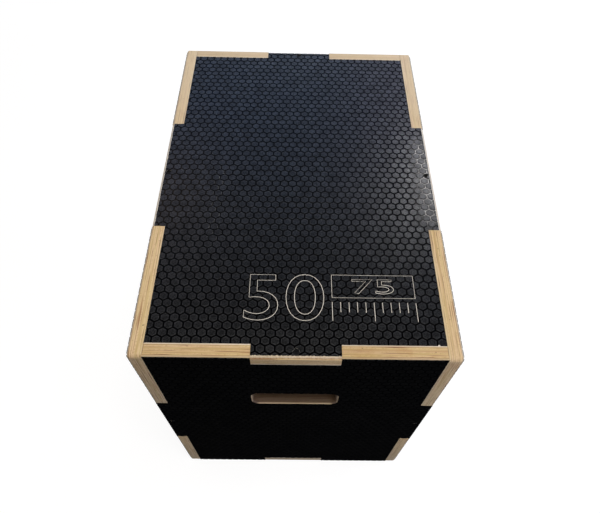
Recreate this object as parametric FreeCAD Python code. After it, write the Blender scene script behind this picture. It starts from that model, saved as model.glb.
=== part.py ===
import FreeCAD, Part
import os

# Plyo box of six plywood panels, locked together by a tab in the middle of each joined edge.
# Each panel is cut flat with its outer face up, then stood in its place in the box.
# Flat frame of a panel: u across it, v along it, w out of its outer face, w = 0 on the facing.
# Box frame: X across, Y from front to back, Z up, origin in the middle of the underside.

# Driving sizes of the box, in millimetres
box_width = 500.0
box_depth = 750.0
box_height = 600.0
panel_thickness = 23.0
facing_thickness = 0.8

# Tabs, one in the middle of each joined edge, and the play in their notches
side_tab_length = 260.0
end_tab_length = 136.0
upright_tab_length = 206.0
joint_clearance = 0.2

# Edges: corners of the side panels, eased outer edges, bare wood behind the eased ends of level tabs
corner_radius = 8.0
side_edge_chamfer = 2.5
level_edge_chamfer = 4.0
front_edge_chamfer = 1.5
tab_bare_strip = 0.5

# Hand slots of the front and back panels
slot_width = 146.0
slot_height = 46.0
slot_corner_radius = 12.0
slot_edge_chamfer = 3.0
slot_below_top = 170.0

# Centre brace and the grooves that house its ends
brace_thickness = 22.0
groove_depth = 6.0

# Countersunk panel screws, one in each tab, with the head level with the wood under the facing
screw_diameter = 7.0
screw_head_diameter = 10.0
screw_head_height = 1.5
screw_length = 50.0
screw_clearance = 0.1

# How far a cut runs past a face, and how near an edge lies to the face that it is picked on
overrun = 1.0
pick_reach = 0.01

half_width = box_width / 2
half_depth = box_depth / 2
half_height = box_height / 2
core_thickness = panel_thickness - facing_thickness
tab_centre_inset = panel_thickness / 2


def stepped_face(u_ends, u_middle, u_half, v_ends, v_middle, v_half):
    """Panel outline whose edges step from their ends to a middle stretch, a tab or a notch."""
    quarter = [
        (u_middle, u_half),
        (u_ends, u_half),
        (u_ends, v_ends),
        (v_half, v_ends),
        (v_half, v_middle),
    ]
    half = quarter + [(-u, v) for u, v in reversed(quarter)]
    outline = half + [(u, -v) for u, v in reversed(half)]
    points = [FreeCAD.Vector(u, v, 0) for u, v in outline]
    return Part.Face(Part.makePolygon(points + points[:1]))


def rounded_face(width, height, radius):
    """Rectangle about the origin with rounded corners."""
    plane = Part.makePlane(width, height, FreeCAD.Vector(-width / 2, -height / 2, 0))
    plate = plane.extrude(FreeCAD.Vector(0, 0, radius))
    posts = [edge for edge in plate.Edges if edge.BoundBox.ZLength > pick_reach]
    rounded = plate.makeFillet(radius, posts)
    return next(face for face in rounded.Faces if face.BoundBox.ZMax < pick_reach)


def slab(face, top, thickness):
    """Solid under a flat outline, from w = top down."""
    raised = face.copy()
    raised.translate(FreeCAD.Vector(0, 0, top))
    return raised.extrude(FreeCAD.Vector(0, 0, -thickness))


def round_corners(plate, u_corner, v_corner, radius):
    """Round the upright edges at the four corners of a flat plate."""
    def at_corner(edge):
        centre = edge.CenterOfMass
        du = abs(abs(centre.x) - u_corner)
        dv = abs(abs(centre.y) - v_corner)
        return max(du, dv, edge.BoundBox.XLength, edge.BoundBox.YLength) < pick_reach
    return plate.makeFillet(radius, [edge for edge in plate.Edges if at_corner(edge)])


def ease_outer_edges(core, u_outside, v_outside, chamfer):
    """Chamfer the edges of the core's outer face that lie on the outside of the box."""
    def on_outside(edge):
        box = edge.BoundBox
        on_face = box.ZMin > -facing_thickness - pick_reach
        reach_u = min(abs(box.XMin), abs(box.XMax)) if box.XLength < pick_reach else 0
        reach_v = min(abs(box.YMin), abs(box.YMax)) if box.YLength < pick_reach else 0
        outside = reach_u > u_outside - pick_reach or reach_v > v_outside - pick_reach
        return on_face and outside
    return core.makeChamfer(chamfer, [edge for edge in core.Edges if on_outside(edge)])


def top_pieces():
    """Core and facing of the top and bottom panels, with a tab on all four edges."""
    u_ends = half_width - panel_thickness
    v_ends = half_depth - panel_thickness
    side_half = side_tab_length / 2
    end_half = end_tab_length / 2
    outline = stepped_face(u_ends, half_width, side_half, v_ends, half_depth, end_half)
    core = slab(outline, -facing_thickness, core_thickness)
    core = ease_outer_edges(core, half_width, half_depth, level_edge_chamfer)
    film_u = half_width - level_edge_chamfer - tab_bare_strip
    film_v = half_depth - level_edge_chamfer - tab_bare_strip
    film = stepped_face(u_ends, film_u, side_half, v_ends, film_v, end_half)
    return core, slab(film, 0, facing_thickness)


def front_pieces():
    """Core and facing of the front and back panels, with side tabs, notches and a hand slot."""
    u_ends = half_width - panel_thickness
    tab_half = upright_tab_length / 2
    notch_floor = half_height - panel_thickness
    notch_half = end_tab_length / 2 + joint_clearance
    slot_centre = FreeCAD.Vector(0, half_height - slot_below_top, 0)

    outline = stepped_face(u_ends, half_width, tab_half, half_height, notch_floor, notch_half)
    core = slab(outline, -facing_thickness, core_thickness)
    core = ease_outer_edges(core, half_width, half_height, front_edge_chamfer)
    core = cut_hand_slot(core, slot_centre)

    film_u = half_width - front_edge_chamfer
    film_v = half_height - front_edge_chamfer
    film = stepped_face(u_ends, film_u, tab_half, film_v, notch_floor, notch_half)
    facing = slab(film, 0, facing_thickness)
    wide_slot = rounded_face(
        slot_width + 2 * slot_edge_chamfer,
        slot_height + 2 * slot_edge_chamfer,
        slot_corner_radius + slot_edge_chamfer,
    )
    wide_slot.translate(slot_centre)
    return core, facing.cut(slab(wide_slot, overrun, facing_thickness + 2 * overrun))


def cut_hand_slot(core, slot_centre):
    """Hand slot right through a core, with its edges eased on both faces."""
    slot = rounded_face(slot_width, slot_height, slot_corner_radius)
    slot.translate(slot_centre)
    open_core = core.cut(slab(slot, overrun, panel_thickness + 2 * overrun))

    def rims_slot(edge):
        box = edge.BoundBox
        flat = box.ZLength < pick_reach
        within_u = max(abs(box.XMin), abs(box.XMax)) < slot_width / 2 + pick_reach
        low = box.YMin > slot_centre.y - slot_height / 2 - pick_reach
        high = box.YMax < slot_centre.y + slot_height / 2 + pick_reach
        return flat and within_u and low and high
    return open_core.makeChamfer(slot_edge_chamfer, [edge for edge in open_core.Edges if rims_slot(edge)])


def side_pieces():
    """Core and facing of the left and right panels, with a notch in all four edges and a brace groove."""
    upright_floor = half_depth - panel_thickness
    upright_half = upright_tab_length / 2 + joint_clearance
    level_floor = half_height - panel_thickness
    level_half = side_tab_length / 2 + joint_clearance

    outline = stepped_face(half_depth, upright_floor, upright_half, half_height, level_floor, level_half)
    core = slab(outline, -facing_thickness, core_thickness)
    core = round_corners(core, half_depth, half_height, corner_radius)
    core = ease_outer_edges(core, half_depth, half_height, side_edge_chamfer)
    groove_width = brace_thickness + 2 * joint_clearance
    groove = Part.makePlane(
        groove_width, 2 * level_floor, FreeCAD.Vector(-groove_width / 2, -level_floor, 0)
    )
    core = core.cut(slab(groove, groove_depth - panel_thickness, groove_depth + overrun))

    film_u = half_depth - side_edge_chamfer
    film_v = half_height - side_edge_chamfer
    film = stepped_face(film_u, upright_floor, upright_half, film_v, level_floor, level_half)
    facing = slab(film, 0, facing_thickness)
    return core, round_corners(facing, film_u, film_v, corner_radius - side_edge_chamfer)


def centre_brace():
    """Plywood web between top and bottom, its ends housed in the grooves of the side panels."""
    reach = half_width - panel_thickness + groove_depth - joint_clearance
    height = box_height - 2 * panel_thickness
    corner = FreeCAD.Vector(-reach, -brace_thickness / 2, panel_thickness)
    return Part.makeBox(2 * reach, brace_thickness, height, corner)


def turned(profile):
    """Solid of revolution about w from radius and height points."""
    points = [FreeCAD.Vector(radius, 0, height) for radius, height in profile]
    face = Part.Face(Part.makePolygon(points + points[:1]))
    return face.revolve(FreeCAD.Vector(0, 0, 0), FreeCAD.Vector(0, 0, 1), 360)


def screw():
    """Countersunk screw with its head level with the wood, pointing into the panel."""
    head_radius = screw_head_diameter / 2
    shank_radius = screw_diameter / 2
    head_top = -facing_thickness
    return turned([
        (0, head_top),
        (head_radius, head_top),
        (shank_radius, head_top - screw_head_height),
        (shank_radius, head_top - screw_length),
        (0, head_top - screw_length),
    ])


def screw_hole():
    """Countersunk hole that takes the screw with its clearance."""
    mouth_radius = screw_head_diameter / 2 + screw_clearance
    bore_radius = screw_diameter / 2 + screw_clearance
    head_top = -facing_thickness
    bore_end = head_top - screw_length - screw_clearance
    return turned([
        (0, overrun),
        (mouth_radius, overrun),
        (mouth_radius, head_top),
        (bore_radius, head_top - screw_head_height),
        (bore_radius, bore_end),
        (0, bore_end),
    ])


def copies(shape, places):
    """The same shape at several places of a flat panel."""
    made = []
    for u, v in places:
        copy = shape.copy()
        copy.translate(FreeCAD.Vector(u, v, 0))
        made.append(copy)
    return made


def stand(shape, seat):
    """A flat shape stood in its place in the box."""
    stood = shape.copy()
    stood.Placement = seat.multiply(shape.Placement)
    return stood


def upright_seat(x, y, quarter_turns):
    """Seat of an upright panel whose outer face looks to the front, turned about Z."""
    tilt = FreeCAD.Rotation(FreeCAD.Vector(1, 0, 0), 90)
    turn = FreeCAD.Rotation(FreeCAD.Vector(0, 0, 1), 90 * quarter_turns)
    return FreeCAD.Placement(FreeCAD.Vector(x, y, half_height), turn.multiply(tilt))


flip_over = FreeCAD.Rotation(FreeCAD.Vector(1, 0, 0), 180)
seats = {
    "top": FreeCAD.Placement(FreeCAD.Vector(0, 0, box_height), FreeCAD.Rotation()),
    "bottom": FreeCAD.Placement(FreeCAD.Vector(0, 0, 0), flip_over),
    "front": upright_seat(0, -half_depth, 0),
    "back": upright_seat(0, half_depth, 2),
    "left": upright_seat(-half_width, 0, -1),
    "right": upright_seat(half_width, 0, 1),
}

# The tabs' middles, where the screws go: on all four edges of top and bottom, on two of front and back
across = half_width - tab_centre_inset
along = half_depth - tab_centre_inset
side_places = [(-across, 0), (across, 0)]
all_places = side_places + [(0, -along), (0, along)]
screw_places = {"top": all_places, "bottom": all_places, "front": side_places, "back": side_places}

flat_pieces = {
    "top": top_pieces(),
    "front": front_pieces(),
    "left": side_pieces(),
}
flat_pieces["bottom"] = flat_pieces["top"]
flat_pieces["back"] = flat_pieces["front"]
flat_pieces["right"] = flat_pieces["left"]

screw_shape = screw()
hole_shape = screw_hole()
nodes = {"centre_brace": centre_brace()}
holes = []
for side, places in screw_places.items():
    screws = [stand(solid, seats[side]) for solid in copies(screw_shape, places)]
    nodes[side + "_screws"] = Part.makeCompound(screws)
    holes += [stand(solid, seats[side]) for solid in copies(hole_shape, places)]

for side, (core, facing) in flat_pieces.items():
    nodes[side + "_panel"] = stand(core, seats[side]).cut(holes)
    nodes[side + "_facing"] = stand(facing, seats[side]).cut(holes)

os.makedirs("parts", exist_ok=True)
for name, shape in nodes.items():
    shape.exportStep("parts/" + name + ".step")
    print(name, "solids:", len(shape.Solids), "valid:", shape.isValid(), "volume:", round(shape.Volume))
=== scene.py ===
# %% [markdown]
# A plywood jumping box, dressed for a studio photograph
#
# The box is six plywood panels with a black film pressed on their outer faces. The panels lock
# together with wide tabs, so bare plywood edges frame every black face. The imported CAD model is
# loaded first and never changed: it says where every panel, film, screw and slot sits. Every piece
# below takes its place from it and adds what a plain solid lacks.

# %% Load the frame
import math
from contextlib import contextmanager

import bmesh
import bpy
from mathutils import Matrix, Vector


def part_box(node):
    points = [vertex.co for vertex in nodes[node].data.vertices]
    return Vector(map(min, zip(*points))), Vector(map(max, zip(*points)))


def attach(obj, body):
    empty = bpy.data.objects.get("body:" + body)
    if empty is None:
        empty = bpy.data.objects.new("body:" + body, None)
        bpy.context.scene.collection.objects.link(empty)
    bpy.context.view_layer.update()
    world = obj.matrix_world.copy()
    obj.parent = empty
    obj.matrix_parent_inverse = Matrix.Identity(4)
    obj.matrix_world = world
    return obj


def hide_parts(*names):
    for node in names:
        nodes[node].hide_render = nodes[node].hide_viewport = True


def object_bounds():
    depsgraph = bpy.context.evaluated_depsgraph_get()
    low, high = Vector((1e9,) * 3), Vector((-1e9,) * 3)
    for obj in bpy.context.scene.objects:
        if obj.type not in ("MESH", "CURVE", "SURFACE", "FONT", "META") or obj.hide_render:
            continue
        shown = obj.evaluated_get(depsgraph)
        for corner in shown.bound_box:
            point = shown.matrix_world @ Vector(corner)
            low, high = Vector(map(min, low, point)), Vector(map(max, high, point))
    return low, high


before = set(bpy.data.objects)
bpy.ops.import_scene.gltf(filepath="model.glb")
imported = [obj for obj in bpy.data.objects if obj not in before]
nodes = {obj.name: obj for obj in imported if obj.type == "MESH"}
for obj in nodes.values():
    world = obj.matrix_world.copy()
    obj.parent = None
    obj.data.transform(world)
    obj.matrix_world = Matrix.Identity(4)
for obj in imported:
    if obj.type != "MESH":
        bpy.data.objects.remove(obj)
cad_low, cad_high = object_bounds()
MM = 0.001
box_height = cad_high.z
mid_height = box_height / 2
print("CAD box", [round(x / MM) for x in cad_high - cad_low], "mm,", len(nodes), "nodes")

# %% [markdown]
# Camera
#
# The photograph was taken from above the front edge, looking steeply down. A camera can be dragged
# about until the picture looks right. Here its numbers were fitted to the corners of the box instead,
# so that a render and the photograph can be compared point by point. A camera looks along its own -Z
# axis, so its matrix is written from three directions: right, up and backwards.

# %% Camera
PHOTO_WIDTH = 600
PHOTO_HEIGHT = 513
EYE = Vector((-5.96, -687.60, 1286.66)) * MM
PITCH_DOWN = math.radians(57.941)
YAW = math.radians(1.456)
ROLL = math.radians(-2.015)
FOCAL_PIXELS = 509.64
OPTICAL_CENTRE = Vector((299.80, 290.85))


def show(name, data):
    """A new object at the origin for a mesh, a text, a lamp or a camera."""
    made = bpy.data.objects.new(name, data)
    bpy.context.scene.collection.objects.link(made)
    return made


heading = Vector((math.sin(YAW), math.cos(YAW), 0))
level = Vector((math.cos(YAW), -math.sin(YAW), 0))
ahead = math.cos(PITCH_DOWN) * heading - Vector((0, 0, math.sin(PITCH_DOWN)))
right = math.cos(ROLL) * level + math.sin(ROLL) * ahead.cross(level)
down = ahead.cross(right)

lens = bpy.data.cameras.new("photo_camera")
lens.sensor_fit = "HORIZONTAL"
lens.lens = FOCAL_PIXELS / PHOTO_WIDTH * lens.sensor_width
lens.shift_x = (PHOTO_WIDTH / 2 - OPTICAL_CENTRE.x) / PHOTO_WIDTH
lens.shift_y = (OPTICAL_CENTRE.y - PHOTO_HEIGHT / 2) / PHOTO_WIDTH
camera = show("photo_camera", lens)
camera.matrix_world = Matrix.Translation(EYE) @ Matrix((right, -down, -ahead)).transposed().to_4x4()
bpy.context.scene.camera = camera
print("camera lens", round(lens.lens, 2), "mm")

# %% [markdown]
# Small helpers for node trees
#
# Shader trees and Geometry Nodes trees are built the same way: add a node, set its properties, and
# fill its inputs with constants or with other nodes' outputs. Written out, every node would take
# several lines, so a few short functions keep the later cells readable. Ranges and noises have names
# in the later cells: a range is where a fade starts and ends, then the two values it gives there, and
# a noise is its scale, its detail and its roughness. What is left out keeps its usual value.

# %% Node helpers
def fill(tree, node, inputs):
    """Fills a node's inputs with values, or links them to other nodes' outputs."""
    for key, value in inputs.items():
        if isinstance(value, bpy.types.NodeSocket):
            tree.links.new(value, node.inputs[key])
        else:
            node.inputs[key].default_value = value


def add(tree, kind, inputs=None, **settings):
    """Adds a node, sets its properties and fills its inputs."""
    made = tree.nodes.new(kind)
    for name, value in settings.items():
        setattr(made, name, value)
    fill(tree, made, inputs or {})
    return made


def result(tree, kind, inputs=None, **settings):
    """The first output of a new node."""
    return add(tree, kind, inputs, **settings).outputs[0]


def named_sockets(kind, *titles):
    """The sockets of one kind that a node group is to have, by their titles."""
    return dict.fromkeys(titles, "NodeSocket" + kind)


def new_group(name, kind, inputs, outputs):
    """A node group with named sockets. Returns its tree, the outputs of its input node, and its end."""
    tree = bpy.data.node_groups.new(name, kind)
    for direction, sockets in (("INPUT", inputs), ("OUTPUT", outputs)):
        for title, socket in sockets.items():
            tree.interface.new_socket(title, in_out=direction, socket_type=socket)
    return tree, tree.nodes.new("NodeGroupInput").outputs, tree.nodes.new("NodeGroupOutput")


def new_material(name):
    """A material with a Principled shader. Returns the material, its tree and the shader."""
    material = bpy.data.materials.new(name)
    material.use_nodes = True
    tree = material.node_tree
    return material, tree, tree.nodes["Principled BSDF"]


# %% Sums, fades and noise
def calc(tree, operation, *values):
    """What a Math node makes of one to three values."""
    return result(tree, "ShaderNodeMath", dict(enumerate(values)), operation=operation)


def times(tree, value, *factors):
    """A value multiplied by each factor in turn."""
    for factor in factors:
        value = calc(tree, "MULTIPLY", value, factor)
    return value


def minus(tree, first, second):
    """The first value less the second."""
    return calc(tree, "SUBTRACT", first, second)


def apart(tree, first, second):
    """How far two values lie apart."""
    return calc(tree, "ABSOLUTE", minus(tree, first, second))


def parts_of(tree, vector):
    """The X, Y and Z parts of a vector."""
    return add(tree, "ShaderNodeSeparateXYZ", {0: vector}).outputs


def blend(tree, share, first, second, how="MIX"):
    """A colour between two colours, or with MULTIPLY the first one tinted by the second."""
    sockets = {0: share, 6: first, 7: second}
    return add(tree, "ShaderNodeMix", sockets, data_type="RGBA", blend_type=how).outputs[2]


def fade(tree, value, low, high, start=0.0, end=1.0):
    """Maps a value smoothly from the range low to high onto start to end."""
    sockets = {0: value, 1: low, 2: high, 3: start, 4: end}
    return result(tree, "ShaderNodeMapRange", sockets, interpolation_type="SMOOTHSTEP")


def noise(tree, position, scale, detail=2.0, roughness=0.5):
    """A soft random value over a position, about 0.5 on average."""
    sockets = {"Vector": position, "Scale": scale, "Detail": detail, "Roughness": roughness}
    return result(tree, "ShaderNodeTexNoise", sockets)


def patches(tree, position, pattern, reach):
    """Soft random patches: a noise over a position, faded over a range."""
    return fade(tree, noise(tree, position, *pattern), *reach)


def bumps(tree, strength, depth, height):
    """The normal of a surface with small bumps: how strong, how deep, and their height at each point."""
    return result(tree, "ShaderNodeBump", {"Strength": strength, "Distance": depth, "Height": height})


# %% [markdown]
# Studio
#
# The picture has a plain white ground. A white floor lit to pure white would need too much light on
# the box, so Light Path does it: the camera, mirrors and glass see the floor and the low part of the
# world as white, while their part in lighting the box stays that of a dark grey floor in a dim room.
# A little of the floor's own shading is left in, and with it the shadow of the box, and the floor's
# glow grows with distance, so that it stays white to the horizon. Higher up the white wall fades
# through a bluish haze, brighter at the far right, and a grey mist with a bright window at the left
# into a dark ceiling: the glossy top mirrors them.

# %% Floor
FLOOR_SIZE = 16.0
FLOOR_GREY = (0.06, 0.06, 0.065, 1)
FLOOR_SHADE = (0.22, 0.22, 0.22, 1)
FLOOR_GLOW = (1.2, 5.0, 0.86, 1.0)
WHITE = (1, 1, 1, 1)


@contextmanager
def reshaping(mesh):
    """Opens a mesh for editing, and writes the edited mesh back at the end."""
    work = bmesh.new()
    work.from_mesh(mesh)
    yield work
    work.to_mesh(mesh)
    work.free()


def sees_background(tree):
    """1 for the rays that show the background: from the camera, off gloss and through glass."""
    path = add(tree, "ShaderNodeLightPath").outputs
    direct = calc(tree, "MAXIMUM", path["Is Camera Ray"], path["Is Glossy Ray"])
    return calc(tree, "MAXIMUM", direct, path["Is Transmission Ray"])


def make_floor():
    """A square floor that sheds little light on the box, looks white and keeps a soft shadow."""
    mesh = bpy.data.meshes.new("floor")
    with reshaping(mesh) as work:
        bmesh.ops.create_grid(work, x_segments=1, y_segments=1, size=FLOOR_SIZE / 2)
    paint, tree, shader = new_material("floor_paint")
    tree.nodes.remove(shader)
    grey = result(tree, "ShaderNodeBsdfDiffuse", {"Color": FLOOR_GREY})
    shade = result(tree, "ShaderNodeBsdfDiffuse", {"Color": FLOOR_SHADE})
    place = add(tree, "ShaderNodeTexCoord").outputs["Object"]
    distance = add(tree, "ShaderNodeVectorMath", {0: place}, operation="LENGTH").outputs["Value"]
    strength = fade(tree, distance, *FLOOR_GLOW)
    glow = result(tree, "ShaderNodeEmission", {"Color": WHITE, "Strength": strength})
    white = result(tree, "ShaderNodeAddShader", {0: shade, 1: glow})
    shown = result(tree, "ShaderNodeMixShader", {0: sees_background(tree), 1: grey, 2: white})
    fill(tree, tree.nodes["Material Output"], {"Surface": shown})
    mesh.materials.append(paint)
    floor = show("floor", mesh)


make_floor()
print("floor", FLOOR_SIZE, "m wide")

# %% World
ROOM = (0.036, 0.036, 0.058, 1)
CEILING = (0.014, 0.0135, 0.014, 1)
MIST = (0.385, 0.44, 0.53, 1)
HAZE = (0.32, 0.59, 1.19, 1)
PANE = (2.2, 1.6, 1.2, 1)
FAR_RIGHT = (0.64, 0.68, 1.3, 1)
WALL_TOP = (0.50, 0.42)
HAZE_TOP = (0.78, 0.58)
CEILING_EDGE = (0.885, 0.75)
WINDOW_TOP = (0.78, 0.70)
WINDOW_SIDE = (-0.10, -0.25)
RIGHT_SIDE = (0.04, 0.20)


def make_world():
    """A white wall all round that fades upwards through haze and mist into a dark ceiling."""
    world = bpy.data.worlds.new("studio")
    world.use_nodes = True
    tree = world.node_tree
    direction = parts_of(tree, add(tree, "ShaderNodeTexCoord").outputs["Generated"])
    sideways = direction["X"]
    height = direction["Z"]
    window = times(tree, fade(tree, sideways, *WINDOW_SIDE), fade(tree, height, *WINDOW_TOP))
    above = blend(tree, fade(tree, height, *CEILING_EDGE), CEILING, blend(tree, window, MIST, PANE))
    haze = blend(tree, fade(tree, sideways, *RIGHT_SIDE), HAZE, FAR_RIGHT)
    upper = blend(tree, fade(tree, height, *HAZE_TOP), above, haze)
    wall = blend(tree, fade(tree, height, *WALL_TOP), upper, WHITE)
    colour = blend(tree, sees_background(tree), ROOM, wall)
    fill(tree, tree.nodes["Background"], {"Color": colour})
    bpy.context.scene.world = world


make_world()
bpy.context.scene.view_settings.view_transform = "Standard"
print("world", bpy.context.scene.world.name)

# %% [markdown]
# Lamps
#
# A large soft lamp high above, a little in front of the box, lights the top. A small one low at the
# front right lights the bare edges of the front, more at their right end than at their left. Two cool
# ones pale the bare edges that face them, one behind the box and one at its right. A long narrow tube
# on the ceiling behind the right corner is what the grooves of the right tab mirror: a level tube
# mirrored in a level top makes a patch with straight sides, as in the photograph. One lit picture of
# a room could stand for them all, but lamps are easier to move one by one.

# %% Lamps
WARM_WHITE = (1.0, 0.95, 0.87)
NEUTRAL_WHITE = (1.0, 0.975, 0.95)
COOL_WHITE = (0.80, 0.90, 1.0)
PALE_BLUE = (0.78, 0.83, 1.0)
TOP_MIDDLE = (0, 0, box_height)
FRONT_MIDDLE = (0, cad_low.y, mid_height)
TUBE_PLACE = (0.815, 1.61, 2.25)
BELOW_TUBE = (0.815, 1.61, 0)


def lamp(name, place, target, size, power, colour):
    """A soft rectangular lamp at a place, turned towards a target."""
    light = bpy.data.lights.new(name, "AREA")
    light.shape = "RECTANGLE"
    light.size, light.size_y = size
    light.energy = power
    light.color = colour
    made = show(name, light)
    made.location = place
    made.rotation_euler = (Vector(target) - Vector(place)).to_track_quat("-Z", "Y").to_euler()
    print(name, power, "W")


lamp("key_lamp", (0.0, -0.9, 4.8), TOP_MIDDLE, size=(3.0, 3.0), power=160, colour=WARM_WHITE)
lamp("right_lamp", (0.82, -0.92, 0.65), FRONT_MIDDLE, size=(0.4, 0.4), power=2.95, colour=PALE_BLUE)
lamp("back_lamp", (0.6, 2.6, 1.1), TOP_MIDDLE, size=(2.0, 0.5), power=16, colour=COOL_WHITE)
lamp("side_lamp", (2.6, 0.3, 1.15), TOP_MIDDLE, size=(1.2, 1.2), power=16, colour=COOL_WHITE)
lamp("ceiling_tube", TUBE_PLACE, BELOW_TUBE, size=(0.085, 0.68), power=6.7, colour=NEUTRAL_WHITE)

# %% [markdown]
# Plywood
#
# A plywood edge shows thin layers whose grain runs along the sheet and across it in turn. A picture
# of plywood could be laid on every edge, but it would have to be fitted to each cut. The group below
# works on a point of the sheet instead: two places along it and the depth through it. From the depth
# it finds which layer the point is in, then stretches noise along that layer's grain, so any cut
# through the sheet shows the right streaks. The two outermost layers are face veneers, whiter than
# the core, and the bare outer face is the palest. Dark glue lines part the layers. Each is broken
# along its length, some hardly show, and their resin has reddened the wood beside them. A fainter one
# lies under the outer veneer.

# %% Layers and grain
LAYER = 3.17 * MM
LAYER_COUNT = 7
SHEET_DEPTH = LAYER_COUNT * LAYER
FIBRES_ACROSS = 900.0
FIBRES_ALONG = 14.0
LAYERS_ASIDE = (50.0, 50.0, 50.0)


def scaled(tree, vector, factors):
    """A vector with each part multiplied by its own factor."""
    return result(tree, "ShaderNodeVectorMath", {0: vector, 1: factors}, operation="MULTIPLY")


def chance_of(tree, number):
    """A fixed random value and colour for every number."""
    return add(tree, "ShaderNodeTexWhiteNoise", {"W": number}, noise_dimensions="1D").outputs


def grain_position(tree, point, layer, crosswise):
    """The point squeezed across the grain of its layer and moved aside, so that no two layers match."""
    along_first = scaled(tree, point, (FIBRES_ALONG, FIBRES_ACROSS, FIBRES_ACROSS))
    along_second = scaled(tree, point, (FIBRES_ACROSS, FIBRES_ALONG, FIBRES_ACROSS))
    sockets = {0: crosswise, 4: along_first, 5: along_second}
    grain = add(tree, "ShaderNodeMix", sockets, data_type="VECTOR").outputs[1]
    aside = scaled(tree, chance_of(tree, layer)["Color"], LAYERS_ASIDE)
    return result(tree, "ShaderNodeVectorMath", {0: grain, 1: aside}, operation="ADD")


print("plywood of", LAYER_COUNT, "layers,", round(SHEET_DEPTH / MM, 2), "mm deep")

# %% Core wood
PALE_WOOD = (0.745, 0.58, 0.34, 1)
DEEP_WOOD = (0.46, 0.29, 0.10, 1)
PINK_WOOD = (0.73, 0.50, 0.31, 1)
YELLOW_WOOD = (0.63, 0.475, 0.19, 1)
STREAK_BROWN = (0.36, 0.18, 0.075, 1)
STAIN_ORANGE = (0.46, 0.23, 0.075, 1)
LAYER_CONTRAST = 0.44
CLOUD_NOISE = (14.0, 3.0)
CLOUDS = (0.35, 0.70, -0.12, 0.14)
TINT_STRETCH = (9.0, 9.0, 420.0)
TINT_NOISE = (1.0, 2.0)
TINTS = (0.38, 0.62)
TINT_SHARE = 0.38
RESIN_NOISE = (0.5, 2.0)
RESIN_STREAKS = (0.58, 0.68, 0.0, 0.85)
STAIN_NOISE = (34.0, 2.0)
STAINS = (0.58, 0.74, 0.0, 0.32)


def core_wood(tree, point, position, layer, streaks, in_sight, paleness):
    """The colour of the inner layers: a tone for each, clouds, streaks, tints, resin and stains."""
    clouds = patches(tree, point, CLOUD_NOISE, CLOUDS)
    own_tone = calc(tree, "MULTIPLY_ADD", chance_of(tree, layer)["Value"], LAYER_CONTRAST, clouds)
    darkness = minus(tree, calc(tree, "ADD", streaks, own_tone), paleness)
    core = blend(tree, darkness, PALE_WOOD, DEEP_WOOD)
    tints = patches(tree, scaled(tree, point, TINT_STRETCH), TINT_NOISE, TINTS)
    core = blend(tree, TINT_SHARE, core, blend(tree, tints, PINK_WOOD, YELLOW_WOOD))
    resin = patches(tree, position, RESIN_NOISE, RESIN_STREAKS)
    core = blend(tree, times(tree, resin, in_sight), core, STREAK_BROWN)
    stain = patches(tree, point, STAIN_NOISE, STAINS)
    return blend(tree, stain, core, STAIN_ORANGE)


# %% Veneers and glue lines
VENEER = 2.2 * MM
VENEER_EDGE = (VENEER, 0.8 * VENEER)
VENEER_GLUE = (0.5 * MM, 0.2 * MM, 0.0, 0.4)
BARE_SKIN = (0.6 * MM, 0.2 * MM)
PALE_VENEER = (0.78, 0.70, 0.59, 1)
DEEP_VENEER = (0.66, 0.55, 0.41, 1)
BARE_FACE = (0.78, 0.74, 0.68, 1)
GLUE_STRETCH = (20.0, 20.0, 300.0)
GLUE_NOISE = (1.0, 4.0)
GLUE_BREAKS = (0.46, 0.66, 0.05, 0.95)
GLUE_LINE = (0.27, 0.09)
GLUE_STRENGTH = (0.2, 0.8, 0.55, 1.0)
SOAKED_MARGIN = (0.45, 0.10, 0.0, 0.45)
# Added to the number of a line, so that it doesn't share the chance of a layer.
LINE_CHANCE = 0.4


def veneered(tree, core, streaks, depth, to_outside, entry):
    """Lays the face veneers over the core, and the pale skin of the bare outer face over them."""
    veneer = blend(tree, streaks, PALE_VENEER, DEEP_VENEER)
    inner_face = times(tree, fade(tree, depth, *VENEER_EDGE), entry["Inner Veneer"])
    outer_face = times(tree, fade(tree, to_outside, *VENEER_EDGE), entry["Outer Veneer"])
    wood = blend(tree, calc(tree, "MAXIMUM", inner_face, outer_face), core, veneer)
    bare_face = times(tree, fade(tree, to_outside, *BARE_SKIN), entry["Bare Face"])
    return blend(tree, bare_face, wood, BARE_FACE)


def glue_lines(tree, point, layers):
    """How dark the glue line is at a depth counted in layers, and how far its resin reddens the wood."""
    line = calc(tree, "ROUND", layers)
    to_line = apart(tree, layers, line)
    chance = chance_of(tree, calc(tree, "ADD", line, LINE_CHANCE))["Value"]
    unbroken = patches(tree, scaled(tree, point, GLUE_STRETCH), GLUE_NOISE, GLUE_BREAKS)
    from_middle = apart(tree, line, LAYER_COUNT / 2)
    inside = calc(tree, "LESS_THAN", from_middle, (LAYER_COUNT - 1) / 2)
    strength = times(tree, fade(tree, chance, *GLUE_STRENGTH), unbroken)
    glue = times(tree, fade(tree, to_line, *GLUE_LINE), strength, inside)
    soaked = times(tree, fade(tree, to_line, *SOAKED_MARGIN), unbroken, inside)
    return glue, soaked


# %% Plywood group
GLUE_BROWN = (0.15, 0.055, 0.022, 1)
SOAKED_RED = (0.63, 0.34, 0.17, 1)
GAP_BROWN = (0.10, 0.055, 0.025, 1)
FIBRE_NOISE = (1.0, 4.0, 0.6)
FINE_STREAKS = (0.36, 0.70, 0.0, 0.60)
BAND_NOISE = (0.23, 2.0)
BROAD_STREAKS = (0.40, 0.64, 0.0, 0.55)
CROSSWISE_STREAKS = (0.0, 1.0, 1.0, 0.45)
GAPS = (0.70, 0.76)
WOOD_ROUGHNESS = (0.3, 0.7, 0.50, 0.70)


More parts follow.
